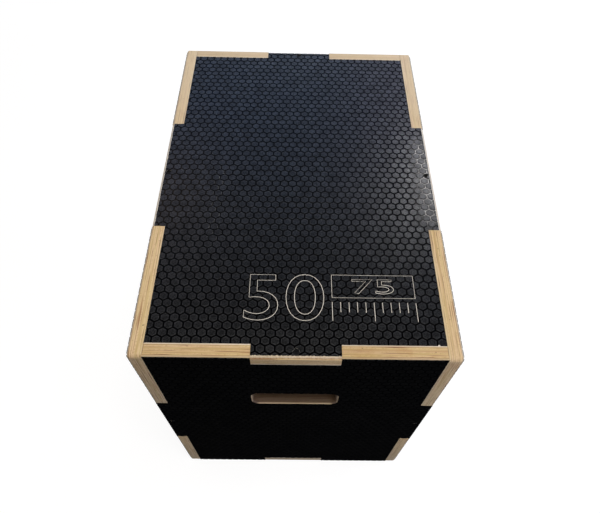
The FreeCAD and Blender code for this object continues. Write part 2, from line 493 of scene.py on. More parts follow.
def build_plywood_group():
    """Colour, roughness and height of plywood at a point given as along, across and depth, in metres."""
    inputs = named_sockets("Vector", "Sheet Point")
    inputs |= named_sockets("Float", "Paleness", "Inner Veneer", "Outer Veneer", "Bare Face")
    outputs = named_sockets("Color", "Color") | named_sockets("Float", "Roughness", "Height")
    tree, entry, end = new_group("plywood_layers", "ShaderNodeTree", inputs, outputs)
    point = entry["Sheet Point"]
    depth = parts_of(tree, point)["Z"]
    to_outside = minus(tree, SHEET_DEPTH, depth)
    layers = calc(tree, "DIVIDE", depth, LAYER)
    layer = calc(tree, "FLOOR", layers)
    crosswise = calc(tree, "PINGPONG", layer, 1.0)
    position = grain_position(tree, point, layer, crosswise)
    fibre = noise(tree, position, *FIBRE_NOISE)
    band = noise(tree, position, *BAND_NOISE)
    in_sight = fade(tree, crosswise, *CROSSWISE_STREAKS)
    fine = fade(tree, fibre, *FINE_STREAKS)
    broad = fade(tree, band, *BROAD_STREAKS)
    streaks = times(tree, calc(tree, "ADD", fine, broad), in_sight)

    wood = core_wood(tree, point, position, layer, streaks, in_sight, entry["Paleness"])
    wood = veneered(tree, wood, streaks, depth, to_outside, entry)
    glue, soaked = glue_lines(tree, point, layers)
    wood = blend(tree, soaked, wood, SOAKED_RED)
    veneer_glue = fade(tree, apart(tree, to_outside, VENEER), *VENEER_GLUE)
    glue = calc(tree, "MAXIMUM", glue, veneer_glue)
    wood = blend(tree, glue, wood, GLUE_BROWN)
    gap = times(tree, fade(tree, band, *GAPS), crosswise)
    wood = blend(tree, gap, wood, GAP_BROWN)
    roughness = fade(tree, fibre, *WOOD_ROUGHNESS)
    height = minus(tree, minus(tree, fibre, glue), gap)
    fill(tree, end, {"Color": wood, "Roughness": roughness, "Height": height})
    return tree


plywood_group = build_plywood_group()
print("plywood group", len(plywood_group.nodes), "nodes")

# %% [markdown]
# Plywood materials
#
# Each panel lies in its own plane, so four plywood materials turn the object's coordinates into the
# sheet's: two axes along the sheet, and the depth measured outwards from the inner face. Opposite
# panels share a material, because the depth is taken from the middle of the box, and are moved along
# in opposite directions, so that they aren't mirror images. A UV map for every panel could do the
# same, with far more work. Towards the back the wood is painted paler and bluer, as a painted sheen,
# near the floor it is painted darker, and along the front and the back grease hides the pale outer
# face. The outer edges of the left and right tabs are painted pale, as a painted highlight, and the
# walls of the hand slots are painted browner than the sawn edges, as painted shade in the slots.

# %% Marks of use, painted highlight and painted shade
# Painted shade: the walls of the hand slots are multiplied by this tint.
SLOT_SHADE_TINT = (0.21, 0.185, 0.215, 1)
SLOT_SHADE_REACH = (3.0 * MM, 0.0)
SLOT_LENGTH = 146 * MM
SLOT_HEIGHT = 46 * MM
SLOT_MIDDLE = 430 * MM
# Painted highlight: the outer edges of the left and right tabs are blended to the pale bare face.
HIGHLIT_RIM = 5 * MM
HIGHLIT_EDGE = 1 * MM
HIGHLIT_GAP = (0.3 * MM, 0.7 * MM)
GREASED_RIM = 7 * MM


def near_slot(tree, place):
    """A mask that is 1 on the walls of the hand slots and 0 a little way from them."""
    beyond_end = minus(tree, calc(tree, "ABSOLUTE", place["X"]), SLOT_LENGTH / 2)
    beyond_side = minus(tree, apart(tree, place["Z"], SLOT_MIDDLE), SLOT_HEIGHT / 2)
    return fade(tree, calc(tree, "MAXIMUM", beyond_end, beyond_side), *SLOT_SHADE_REACH)


def on_highlit_rim(tree, place, depth):
    """A mask that is 1 on the outer edges of the left and right tabs, but not at the veneer's glue line."""
    rim_start = cad_high.x - HIGHLIT_RIM
    at_end = fade(tree, calc(tree, "ABSOLUTE", place["X"]), rim_start - HIGHLIT_EDGE, rim_start)
    to_outside = minus(tree, SHEET_DEPTH, depth)
    near_face = fade(tree, to_outside, HIGHLIT_RIM, HIGHLIT_RIM - HIGHLIT_EDGE)
    off_glue = fade(tree, apart(tree, to_outside, VENEER), *HIGHLIT_GAP)
    return times(tree, at_end, near_face, off_glue)


def off_greased_rim(tree, place):
    """A mask that is 1 except along the front and the back of the box, where it fades to 0."""
    from_middle = calc(tree, "ABSOLUTE", place["Y"])
    return fade(tree, from_middle, cad_high.y - GREASED_RIM, cad_high.y - 2 * GREASED_RIM)


# %% Plywood materials
OTHER_SHEET = 1.37
# Painted sheen: the wood is blended paler and bluer towards the back.
BACK_SHEEN_WOOD = (0.72, 0.62, 0.49, 1)
BACK_SHEEN_REACH = (-0.10, 0.25, 0.0, 0.5)
# The wood is blended darker towards the floor.
LOW_DARK_WOOD = (0.16, 0.13, 0.11, 1)
LOW_DARK_REACH = (0.26, 0.0, 0.0, 0.28)
WOOD_BUMP_STRENGTH = 0.35
WOOD_BUMP_DEPTH = 0.15 * MM
WOOD_SHINE = 0.3


def plywood_material(name, axes, middle, inner, paleness, veneers, slotted=False, rubbed=False):
    """Plywood for sheets that lie along the first two axes. Depth runs out from inner, both ways."""
    material, tree, shader = new_material(name)
    along, across, through = axes
    place = parts_of(tree, add(tree, "ShaderNodeTexCoord").outputs["Object"])
    through_box = minus(tree, place[through], middle)
    depth = minus(tree, calc(tree, "ABSOLUTE", through_box), inner)
    facing = calc(tree, "SIGN", through_box)
    own_along = calc(tree, "MULTIPLY_ADD", facing, OTHER_SHEET, place[along])
    layers = add(tree, "ShaderNodeGroup", {
        "Sheet Point": result(tree, "ShaderNodeCombineXYZ", {0: own_along, 1: place[across], 2: depth}),
        "Paleness": paleness,
        "Inner Veneer": veneers[0],
        "Outer Veneer": veneers[1],
        "Bare Face": off_greased_rim(tree, place),
    }, node_tree=plywood_group).outputs
    # Painted sheen: paler and bluer towards the back.
    colour = blend(tree, fade(tree, place["Y"], *BACK_SHEEN_REACH), layers["Color"], BACK_SHEEN_WOOD)
    # Darker towards the floor.
    colour = blend(tree, fade(tree, place["Z"], *LOW_DARK_REACH), colour, LOW_DARK_WOOD)
    # Painted highlight: the outer edges of the tabs are painted pale.
    if rubbed:
        colour = blend(tree, on_highlit_rim(tree, place, depth), colour, BARE_FACE)
    # Painted shade: the walls of the hand slots are darkened by a tint.
    if slotted:
        colour = blend(tree, near_slot(tree, place), colour, SLOT_SHADE_TINT, "MULTIPLY")
    fill(tree, shader, {
        "Base Color": colour,
        "Roughness": layers["Roughness"],
        "Normal": bumps(tree, WOOD_BUMP_STRENGTH, WOOD_BUMP_DEPTH, layers["Height"]),
        "Specular IOR Level": WOOD_SHINE,
    })
    return material


level_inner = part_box("top_panel")[0].z - mid_height
front_inner = -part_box("front_panel")[1].y
side_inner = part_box("right_panel")[0].x
brace_inner = -SHEET_DEPTH / 2
# rubbed=True paints a pale highlight on the outer edges of the tabs.
level_ply = plywood_material(
    "plywood_level", "YXZ", mid_height, level_inner, paleness=0.25, veneers=(0.8, 0.6), rubbed=True)
front_ply = plywood_material(
    "plywood_front", "XZY", 0.0, front_inner, paleness=-0.08, veneers=(0.8, 0.3), slotted=True)
side_ply = plywood_material(
    "plywood_side", "YZX", 0.0, side_inner, paleness=0.42, veneers=(0.25, 0.65))
brace_ply = plywood_material(
    "plywood_brace", "XZY", 0.0, brace_inner, paleness=0.10, veneers=(0.8, 0.8))
print("plywood materials", level_ply.name, front_ply.name, side_ply.name, brace_ply.name)

# %% [markdown]
# Black film
#
# The film is a hard black resin skin pressed into raised hexagons. One glossy black would look like
# plastic. The resin itself is matt, and feet have polished it on the top, so a clear coat is laid over
# it, strong there, thin on the sides and hardly any on the front. The floors of the grooves are smooth
# and mirror a lamp, their walls are dull, and the grooves are a little darker, as painted shade. The
# rims of the hexagons are painted a little paler, as a painted highlight. One group says how worn and
# how polished the film is at a place. Three materials use it, for faces, rims and grooves.

# %% Film skin
SIDE_POLISH = 0.16
FRONT_POLISH = 0.012
FACE_REACH = 2 * MM
CLOUDINESS_NOISE = (9.0, 3.0)
SPECK_NOISE = (900.0, 2.0)
SPECKS = (0.55, 0.75)
SCUFFED_AREAS = (0.40, 0.65)
MOTTLE_NOISE = (420.0, 3.0)
MOTTLE = (0.35, 0.65, 0.50, 1.40)
SHADE_NOISE = (55.0, 1.0)
SHADES = (0.35, 0.65, 0.80, 1.15)
PEBBLE_NOISE = (1400.0, 2.0)
SQUARE_ON = (0.90, 0.98)


def build_film_skin():
    """Scuffs, cloudiness, pebbles and polish of the film at a place, and where it isn't sloping."""
    inputs = named_sockets("Vector", "Place", "Normal")
    outputs = named_sockets("Float", "Scuffs", "Cloud", "Height", "Polish", "Level")
    tree, entry, end = new_group("film_skin", "ShaderNodeTree", inputs, outputs)
    place = entry["Place"]
    cloud = noise(tree, place, *CLOUDINESS_NOISE)
    scuffs = times(tree, patches(tree, place, SPECK_NOISE, SPECKS), fade(tree, cloud, *SCUFFED_AREAS))
    where = parts_of(tree, place)
    on_top = calc(tree, "GREATER_THAN", where["Z"], box_height - FACE_REACH)
    at_front = calc(tree, "LESS_THAN", where["Y"], cad_low.y + FACE_REACH)
    below = fade(tree, at_front, 0.0, 1.0, SIDE_POLISH, FRONT_POLISH)
    polish = calc(tree, "MAXIMUM", on_top, below)
    mottle = patches(tree, place, MOTTLE_NOISE, MOTTLE)
    shade = patches(tree, place, SHADE_NOISE, SHADES)
    around = result(tree, "ShaderNodeVectorMath", {0: entry["Normal"]}, operation="ABSOLUTE")
    parts = parts_of(tree, around)
    squarest = calc(tree, "MAXIMUM", calc(tree, "MAXIMUM", parts["X"], parts["Y"]), parts["Z"])
    fill(tree, end, {
        "Scuffs": scuffs,
        "Cloud": cloud,
        "Height": noise(tree, place, *PEBBLE_NOISE),
        "Polish": times(tree, polish, mottle, shade),
        "Level": fade(tree, squarest, *SQUARE_ON),
    })
    return tree


film_skin = build_film_skin()
print("film skin group", len(film_skin.nodes), "nodes")

# %% Film materials
FACE_BLACK = (0.0020, 0.0021, 0.0023, 1)
FACE_SCUFF = (0.008, 0.008, 0.009, 1)
# Painted highlight: the rims are a paler black than the faces.
RIM_HIGHLIT_BLACK = (0.0060, 0.0062, 0.0068, 1)
RIM_HIGHLIT_SCUFF = (0.018, 0.018, 0.018, 1)
# Painted shade: the grooves are a darker black than the faces.
GROOVE_SHADED_BLACK = (0.0012, 0.0013, 0.0015, 1)
GROOVE_SHADED_SCUFF = (0.003, 0.003, 0.003, 1)
FILM_ROUGHNESS = (0.3, 0.7, 0.55, 0.70)
PEBBLE_DEPTH = 0.05 * MM


def film_material(name, colour, worn_colour, gloss, coat_roughness, pebbles=0.25):
    """Matt black resin under a clear polish. Gloss is how much of the polish this part of it keeps."""
    material, tree, shader = new_material(name)
    where = add(tree, "ShaderNodeTexCoord").outputs
    sockets = {"Place": where["Object"], "Normal": where["Normal"]}
    skin = add(tree, "ShaderNodeGroup", sockets, node_tree=film_skin).outputs
    normal = bumps(tree, pebbles, PEBBLE_DEPTH, skin["Height"])
    fill(tree, shader, {
        "Base Color": blend(tree, skin["Scuffs"], colour, worn_colour),
        "Roughness": fade(tree, skin["Cloud"], *FILM_ROUGHNESS),
        "Coat Weight": times(tree, skin["Polish"], skin["Level"], gloss),
        "Coat Roughness": coat_roughness,
        "Specular IOR Level": 0.0,
        "Normal": normal,
        "Coat Normal": normal,
    })
    return material


film_face = film_material("film_face", FACE_BLACK, FACE_SCUFF, gloss=0.84, coat_roughness=0.275)
film_rim = film_material("film_rim", RIM_HIGHLIT_BLACK, RIM_HIGHLIT_SCUFF, gloss=0.80, coat_roughness=0.36)
film_groove = film_material(
    "film_groove", GROOVE_SHADED_BLACK, GROOVE_SHADED_SCUFF, gloss=0.34, coat_roughness=0.085, pebbles=0.06)
print("film materials", film_face.name, film_rim.name, film_groove.name)

# %% [markdown]
# The hexagon sheet
#
# One hexagon cell is a small relief: a flat hexagon is extruded four times, each time drawn in, to
# give groove floor, groove wall, rounded edge, rim and raised face. Each part is numbered as it is
# made. Geometry Nodes put that cell on every point of a staggered grid, close the result into a slab
# and paint it by those numbers. A mesh of cells written out by hand would need thousands of numbers.
# Here a handful of sizes says it all.

# %% Hexagon cell
FLOOR_SHARE = 0.50
WALL_SHARE = 0.88
EDGE_SHARE = 1.10
RIM_SHARE = 2.00
EDGE_RISE = 0.15
GROOVE_PART, RIM_PART, FACE_PART = 0, 1, 2


def numbered(tree, mesh, faces, part):
    """Writes the number of a part on some faces of a mesh."""
    label = {"Geometry": mesh, "Selection": faces, "Name": "part", "Value": part}
    return result(tree, "GeometryNodeStoreNamedAttribute", label, data_type="INT", domain="FACE")


def upright(tree, height):
    """A vector straight up of a given length."""
    return result(tree, "ShaderNodeCombineXYZ", {2: height})


def hexagon_cell(tree, flat, pitch, groove, depth):
    """One cell of the relief, drawn up from a flat hexagon that is the floor of its grooves."""
    edge_rise = times(tree, depth, EDGE_RISE)
    wall_rise = minus(tree, depth, edge_rise)
    steps = ((FLOOR_SHARE, 0.0), (WALL_SHARE, wall_rise), (EDGE_SHARE, edge_rise), (RIM_SHARE, 0.0))
    cell = flat
    size = pitch
    inner = True
    for share, rise in steps:
        pull = {"Mesh": cell, "Selection": inner, "Offset Scale": 0.0}
        drawn = add(tree, "GeometryNodeExtrudeMesh", pull, mode="FACES").outputs
        inner = drawn["Top"]
        smaller = calc(tree, "MULTIPLY_ADD", groove, -share, pitch)
        ratio = calc(tree, "DIVIDE", smaller, size)
        shrink = {"Geometry": drawn["Mesh"], "Selection": inner, "Scale": ratio}
        cell = result(tree, "GeometryNodeScaleElements", shrink)
        lift = {"Geometry": cell, "Selection": inner, "Offset": upright(tree, rise)}
        cell = result(tree, "GeometryNodeSetPosition", lift)
        size = smaller
    cell = numbered(tree, cell, drawn["Side"], RIM_PART)
    return numbered(tree, cell, inner, FACE_PART)


# %% Grid and slab
ROW_SHARE = math.sqrt(3) / 2
WELD = 0.02 * MM


def staggered_points(tree, columns, rows, pitch):
    """The middles of the cells: a grid whose odd rows are moved aside by half a pitch."""
    row_step = times(tree, pitch, ROW_SHARE)
    width = times(tree, minus(tree, columns, 1.0), pitch)
    length = times(tree, minus(tree, rows, 1.0), row_step)
    sizes = {"Size X": width, "Size Y": length, "Vertices X": columns, "Vertices Y": rows}
    grid = result(tree, "GeometryNodeMeshGrid", sizes)
    where = parts_of(tree, result(tree, "GeometryNodeInputPosition"))
    row = calc(tree, "ROUND", calc(tree, "DIVIDE", where["Y"], row_step))
    odd = calc(tree, "PINGPONG", row, 1.0)
    offset = result(tree, "ShaderNodeCombineXYZ", {0: times(tree, odd, times(tree, pitch, 0.5))})
    return result(tree, "GeometryNodeSetPosition", {"Geometry": grid, "Offset": offset})


def open_edges(tree):
    """A mask of the edges that have one face or none."""
    faces = add(tree, "GeometryNodeInputMeshEdgeNeighbors").outputs["Face Count"]
    return calc(tree, "LESS_THAN", faces, 2.0)


def closed_slab(tree, sheet, depth, thickness):
    """Welds the cells together and joins the open rim of the relief to the underside."""
    joined = result(tree, "GeometryNodeMergeByDistance", {"Geometry": sheet, "Distance": WELD})
    where = parts_of(tree, result(tree, "GeometryNodeInputPosition"))
    halfway = times(tree, calc(tree, "ADD", depth, thickness), -0.5)
    upper = calc(tree, "GREATER_THAN", where["Z"], halfway)
    skirt = {
        "Mesh": joined,
        "Selection": times(tree, open_edges(tree), upper),
        "Offset": upright(tree, minus(tree, depth, thickness)),
        "Offset Scale": 1.0,
    }
    skirted = add(tree, "GeometryNodeExtrudeMesh", skirt, mode="EDGES").outputs["Mesh"]
    return result(tree, "GeometryNodeMergeByDistance", {"Geometry": skirted, "Distance": WELD})


# %% Hexagon sheet tree
def painted(tree, mesh, part, material):
    """Gives every face of a numbered part its material."""
    number = result(tree, "GeometryNodeInputNamedAttribute", {"Name": "part"}, data_type="INT")
    numbers = {2: number, 3: part}
    same = result(tree, "FunctionNodeCompare", numbers, data_type="INT", operation="EQUAL")
    paint = {"Geometry": mesh, "Selection": same, "Material": material}
    return result(tree, "GeometryNodeSetMaterial", paint)


def together(tree, *shapes):
    """Several shapes joined into one."""
    join = tree.nodes.new("GeometryNodeJoinGeometry")
    for shape in shapes:
        tree.links.new(shape, join.inputs[0])
    return join.outputs[0]


def build_hexagon_sheet():
    """A closed slab of hexagon cells, centred on a cell, with the raised faces at height zero."""
    inputs = named_sockets("Int", "Columns", "Rows")
    inputs |= named_sockets("Float", "Pitch", "Groove Width", "Groove Depth", "Thickness")
    inputs |= named_sockets("Material", "Face Material", "Rim Material", "Groove Material")
    outputs = named_sockets("Geometry", "Sheet")
    tree, entry, end = new_group("hexagon_sheet", "GeometryNodeTree", inputs, outputs)
    pitch = entry["Pitch"]
    depth = entry["Groove Depth"]
    thickness = entry["Thickness"]
    corner = calc(tree, "DIVIDE", pitch, math.sqrt(3))
    disc = result(tree, "GeometryNodeMeshCircle", {"Vertices": 6, "Radius": corner}, fill_type="NGON")

    def hexagon(below):
        """A flat hexagon some way below the raised faces, with points along the sheet's second axis."""
        height = upright(tree, times(tree, below, -1.0))
        turned = {"Geometry": disc, "Translation": height, "Rotation": (0, 0, math.pi / 6)}
        return result(tree, "GeometryNodeTransform", turned)

    relief = hexagon_cell(tree, hexagon(depth), pitch, entry["Groove Width"], depth)
    underside = result(tree, "GeometryNodeFlipFaces", {"Mesh": hexagon(thickness)})
    points = staggered_points(tree, entry["Columns"], entry["Rows"], pitch)
    spread = {"Points": points, "Instance": together(tree, relief, underside)}
    cells = result(tree, "GeometryNodeInstanceOnPoints", spread)
    sheet = result(tree, "GeometryNodeRealizeInstances", {"Geometry": cells})
    slab = closed_slab(tree, sheet, depth, thickness)
    slab = painted(tree, slab, GROOVE_PART, entry["Groove Material"])
    slab = painted(tree, slab, RIM_PART, entry["Rim Material"])
    slab = painted(tree, slab, FACE_PART, entry["Face Material"])
    fill(tree, end, {"Sheet": slab})
    return tree


hexagon_sheet = build_hexagon_sheet()
print("hexagon sheet tree", len(hexagon_sheet.nodes), "nodes")

# %% [markdown]
# From a tree to a plain mesh
#
# A modifier shows what its tree makes, but the piece that is kept has to be an ordinary mesh. An
# operator could apply the modifier, but needs the right object to be selected first. Here the
# evaluated object is read back with new_from_object, and the helper object is thrown away.

# %% Plain meshes
def set_inputs(modifier, values):
    """Fills a tree's named inputs on its modifier, by each socket's identifier."""
    for item in modifier.node_group.interface.items_tree:
        if item.name in values:
            modifier[item.identifier] = values[item.name]


def plain_mesh(obj, name):
    """What the object's modifiers make, as a mesh of its own."""
    bpy.context.view_layer.update()
    graph = bpy.context.evaluated_depsgraph_get()
    mesh = bpy.data.meshes.new_from_object(obj.evaluated_get(graph))
    mesh.name = name
    return mesh


def settle(piece):
    """Puts what the piece's modifiers make in the place of its mesh."""
    mesh = plain_mesh(piece, piece.name)
    piece.modifiers.clear()
    piece.data = mesh


def grown(name, tree, values, start=None):
    """The plain mesh that a Geometry Nodes tree makes, with its faces turned outwards."""
    holder = show(name, start or bpy.data.meshes.new(name))
    modifier = holder.modifiers.new(name, "NODES")
    modifier.node_group = tree
    set_inputs(modifier, values)
    mesh = plain_mesh(holder, name)
    bpy.data.objects.remove(holder)
    with reshaping(mesh) as work:
        bmesh.ops.recalc_face_normals(work, faces=work.faces)
    if mesh.materials[0] is None:
        mesh.materials.pop(index=0)
    return mesh


# %% CAD copies and finished pieces
COINCIDENT = 0.005 * MM
FLAT_TURN = math.radians(0.5)


def joined_copy(node):
    """A copy of a CAD node's mesh with its loose triangles joined and its flat faces made whole."""
    mesh = nodes[node].data.copy()
    with reshaping(mesh) as work:
        bmesh.ops.remove_doubles(work, verts=work.verts, dist=COINCIDENT)
        bmesh.ops.dissolve_limit(work, angle_limit=FLAT_TURN, verts=work.verts, edges=work.edges)
    return mesh


def extent(points):
    """The lowest and the highest corner of some points."""
    parts = list(zip(*points))
    return Vector(map(min, parts)), Vector(map(max, parts))


def keep(piece, node):
    """Makes a finished piece ride on the box and stand for its CAD node."""
    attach(piece, "root")
    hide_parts(node)
    print(piece.name, "stands for", node, "with", len(piece.data.polygons), "faces")


# %% [markdown]
# The size mark
#
# Near the front of the top a mark is cut through the film, so the pale wood shows in its lines. Here
# it holds plain numbers only, the two sides of the top in centimetres, with a frame and a row of ruler
# marks. It could be painted on with a mask, but a cut line has walls that catch the light. The
# outlines of the digits come from Blender's own font, and a tree turns every outline and mark into a
# round cutter that follows it.

# %% Engraving tree
LINE_WIDTH = 2.0 * MM
BAR_SIDES = 8


def bar_along(tree, path, radius, sides):
    """A bar that follows a path, with closed ends."""
    ring = result(tree, "GeometryNodeCurvePrimitiveCircle", {"Resolution": sides, "Radius": radius})
    sweep = {"Curve": path, "Profile Curve": ring, "Fill Caps": True}
    return result(tree, "GeometryNodeCurveToMesh", sweep)


def finished(tree, end, shape, material):
    """Ends a tree as the export needs it: instances made real, then a material set."""
    real = result(tree, "GeometryNodeRealizeInstances", {"Geometry": shape})
    paint = {"Geometry": real, "Material": material}
    fill(tree, end, {0: result(tree, "GeometryNodeSetMaterial", paint)})
    return tree


def build_engraving():
    """A round bar along every outer or loose edge of a flat mesh."""
    inputs = named_sockets("Geometry", "Lines") | named_sockets("Float", "Line Width")
    inputs |= named_sockets("Material", "Material")
    outputs = named_sockets("Geometry", "Bars")
    tree, entry, end = new_group("engraving_bars", "GeometryNodeTree", inputs, outputs)
    outer = {"Mesh": entry["Lines"], "Selection": open_edges(tree)}
    path = result(tree, "GeometryNodeMeshToCurve", outer)
    bars = bar_along(tree, path, times(tree, entry["Line Width"], 0.5), BAR_SIDES)
    return finished(tree, end, bars, entry["Material"])


engraving_bars = build_engraving()
print("engraving tree", len(engraving_bars.nodes), "nodes")

# %% Lines of the mark
MARK_FRONT = -311 * MM
MARK_BACK = -226 * MM
FRAME_LEFT = 56 * MM
FRAME_RIGHT = 188 * MM
FRAME_FRONT = -269 * MM
FRAME_MARGIN = 8 * MM
RULER_STEPS = 10
LONG_MARK_EVERY = 5
SHORT_MARK_SHARE = 0.55
FONT_FINENESS = 6


def digits(text, left, right, front, back):
    """The flat outline of some digits, stretched to fill a rectangle on the top."""
    font = bpy.data.curves.new(text, "FONT")
    font.body = text
    font.resolution_u = FONT_FINENESS
    holder = show(text, font)
    mesh = plain_mesh(holder, text)
    bpy.data.objects.remove(holder)
    low, high = extent([v.co for v in mesh.vertices])
    for vertex in mesh.vertices:
        share = vertex.co - low
        vertex.co.x = left + share.x / (high.x - low.x) * (right - left)
        vertex.co.y = front + share.y / (high.y - low.y) * (back - front)
        vertex.co.z = box_height
    return mesh


def frame_and_ruler():
    """The loose lines beside the number: a frame, and ruler marks of two lengths below it."""
    points = [
        (FRAME_LEFT, FRAME_FRONT, box_height),
        (FRAME_RIGHT, FRAME_FRONT, box_height),
        (FRAME_RIGHT, MARK_BACK, box_height),
        (FRAME_LEFT, MARK_BACK, box_height),
    ]
    lines = [(0, 1), (1, 2), (2, 3), (3, 0)]
    ruler_back = FRAME_FRONT - FRAME_MARGIN
    for step in range(RULER_STEPS + 1):
        x = FRAME_LEFT + (FRAME_RIGHT - FRAME_LEFT) * step / RULER_STEPS
        share = 1.0 if step % LONG_MARK_EVERY == 0 else SHORT_MARK_SHARE
        length = (ruler_back - MARK_FRONT) * share
        lines.append((len(points), len(points) + 1))
        points.extend([(x, ruler_back, box_height), (x, ruler_back - length, box_height)])
    mesh = bpy.data.meshes.new("frame_and_ruler")
    mesh.from_pydata(points, lines, [])
    return mesh


# %% Mark cutter
NUMBER_LEFT = -82 * MM
NUMBER_RIGHT = 43 * MM


def mark_cutter():
    """All the mark's lines as one set of round cutters."""
    middle = (FRAME_LEFT + FRAME_RIGHT) / 2
    half = (FRAME_RIGHT - FRAME_LEFT) / 4
    flat_lines = [
        digits("50", NUMBER_LEFT, NUMBER_RIGHT, MARK_FRONT, MARK_BACK),
        digits("75", middle - half, middle + half, FRAME_FRONT + FRAME_MARGIN, MARK_BACK - FRAME_MARGIN),
        frame_and_ruler(),
    ]
    lines = bpy.data.meshes.new("mark_lines")
    with reshaping(lines) as work:
        for mesh in flat_lines:
            work.from_mesh(mesh)
    return grown("mark_cutter", engraving_bars, {"Line Width": LINE_WIDTH, "Material": film_groove}, lines)


mark = show("mark_cutter", mark_cutter())
print("mark cutter", len(mark.data.polygons), "faces")

# %% [markdown]
# Chips
#
# Feet and the saw have broken small bites out of the film along its straight edges, so pale wood shows
# there. A tree walks along the edges and drops long few-sided pebbles at random places, which are cut
# out of the film together with the mark. Noise in a material could paint such bites, but would not
# give them an edge that catches light. The round screw holes are left whole.

# %% Chip tree
SMALLEST_BITE = (0.20, 0.20, 0.30)
LARGEST_BITE = (0.50, 0.50, 1.00)


def build_chips():
    """Pebbles at random places along an outline, longest along it."""
    inputs = named_sockets("Geometry", "Outline") | named_sockets("Float", "Spacing", "Share", "Largest")
    inputs |= named_sockets("Int", "Seed") | named_sockets("Material", "Material")
    outputs = named_sockets("Geometry", "Chips")
    tree, entry, end = new_group("edge_chips", "GeometryNodeTree", inputs, outputs)
    seed = entry["Seed"]
    path = result(tree, "GeometryNodeMeshToCurve", {"Mesh": entry["Outline"]})
    steps = {"Curve": path, "Length": entry["Spacing"]}
    spots = add(tree, "GeometryNodeCurveToPoints", steps, mode="LENGTH").outputs
    half = times(tree, entry["Spacing"], 0.5)
    way = {"Min": times(tree, half, -1.0), "Max": half, "Seed": seed}
    slide = add(tree, "FunctionNodeRandomValue", way, data_type="FLOAT").outputs[1]
    shift = {0: spots["Tangent"], "Scale": slide}
    offset = result(tree, "ShaderNodeVectorMath", shift, operation="SCALE")
    moved = result(tree, "GeometryNodeSetPosition", {"Geometry": spots["Points"], "Offset": offset})
    odds = {"Probability": entry["Share"], "Seed": seed}
    chosen = add(tree, "FunctionNodeRandomValue", odds, data_type="BOOLEAN").outputs[3]
    sizes = {0: SMALLEST_BITE, 1: LARGEST_BITE, "Seed": seed}
    size = result(tree, "FunctionNodeRandomValue", sizes, data_type="FLOAT_VECTOR")
    ball = {"Radius": entry["Largest"], "Subdivisions": 1}
    copies = result(tree, "GeometryNodeInstanceOnPoints", {
        "Points": moved,
        "Selection": chosen,
        "Instance": add(tree, "GeometryNodeMeshIcoSphere", ball).outputs["Mesh"],
        "Rotation": spots["Rotation"],
        "Scale": size,
    })
    return finished(tree, end, copies, entry["Material"])


edge_chips = build_chips()
print("chip tree", len(edge_chips.nodes), "nodes")

# %% Chips along the films
CHIP_SPACING = 9.0 * MM
CHIP_SHARE = 0.10
CHIP_SIZE = 2.2 * MM
WORN_SPACING = 3.0 * MM
WORN_SHARE = 0.75
WORN_SIZE = 3.2 * MM
SHORTEST_RIM = 4.0 * MM
SHARP_TURN = math.radians(60)
SAME_PLACE = 0.05 * MM
CORNER_CHIP = Vector((214.7, -351.2, 600.0)) * MM


def film_outline(node, outwards, before=None):
    """The straight outer rim of a CAD film as loose lines. Before keeps only what is in front of it."""
    points = []
    with reshaping(joined_copy(node)) as work:
        outer = max(v.co.dot(outwards) for v in work.verts)
        for edge in work.edges:
            at_outside = all(v.co.dot(outwards) > outer - SAME_PLACE for v in edge.verts)
            in_reach = before is None or all(v.co.y < before for v in edge.verts)
            straight = edge.calc_length() > SHORTEST_RIM and edge.calc_face_angle(0.0) > SHARP_TURN
            if at_outside and in_reach and straight:
                points.extend(v.co.copy() for v in edge.verts)
    lines = bpy.data.meshes.new(node + "_rim")
    lines.from_pydata(points, [(i, i + 1) for i in range(0, len(points), 2)], [])
    return lines


def chips(name, outline, spacing, share, largest, seed):
    """Cutters for the bites along one outline."""
    values = {"Spacing": spacing, "Share": share, "Largest": largest, "Seed": seed, "Material": film_rim}
    return show(name, grown(name, edge_chips, values, outline))


def corner_chip():
    """The one large bite at the front right corner of the top."""
    mesh = bpy.data.meshes.new("corner_chip")
    place = Matrix.Translation(CORNER_CHIP)
    with reshaping(mesh) as work:
        bmesh.ops.create_icosphere(work, subdivisions=1, radius=CHIP_SIZE, matrix=place)
    return show("corner_chip", mesh)


# %% [markdown]
# Films
#
# Each face of the box gets its own sheet of hexagons. The pattern could be a bump in a material, but
# then its grooves would have no depth at the edges. The sheet is laid in the plane of the CAD film and
# trimmed to that film's exact outline, notches, screw holes and hand slot with a Boolean, which leaves
# crisp cut edges where the press pattern runs off the panel, as on the real sheets.

# %% Faces of the box
EAST = Vector((1, 0, 0))
NORTH = Vector((0, 1, 0))
UP = Vector((0, 0, 1))


def face_seat(along, across, outwards, reach):
    """The matrix that lays a sheet on a face of the box: its two axes, its outward side and its reach."""
    seat = Matrix((along, across, outwards)).transposed().to_4x4()
    middle = Vector((0, 0, mid_height))
    return Matrix.Translation(middle + outwards * reach) @ seat


FACES = {
    "top": face_seat(EAST, NORTH, UP, mid_height),
    "bottom": face_seat(EAST, -NORTH, -UP, mid_height),
    "front": face_seat(EAST, UP, -NORTH, cad_high.y),
    "back": face_seat(-EAST, UP, NORTH, cad_high.y),
    "left": face_seat(-NORTH, UP, -EAST, cad_high.x),
    "right": face_seat(NORTH, UP, EAST, cad_high.x),
}
print("faces", list(FACES))

# %% Make one film
PITCH = 14.79 * MM
GROOVE_WIDTH = 2.7 * MM
GROOVE_DEPTH = 0.75 * MM
SLAB_THICKNESS = 1.6 * MM
OVERLAP = 0.6 * MM


def trimming_block(node, outwards):
    """The CAD film as a solid to trim with, a little higher so that only its outline cuts."""
    mesh = joined_copy(node)
    outer = max(v.co.dot(outwards) for v in mesh.vertices)
    for vertex in mesh.vertices:
        if vertex.co.dot(outwards) > outer - SAME_PLACE:
            vertex.co += outwards * OVERLAP
    return show(node + "_trim", mesh)


def odd_count(reach, step):
    """How many cells cover a half size on both sides of the middle one, with one to spare at each end."""
    return 2 * math.ceil(reach / step) + 3


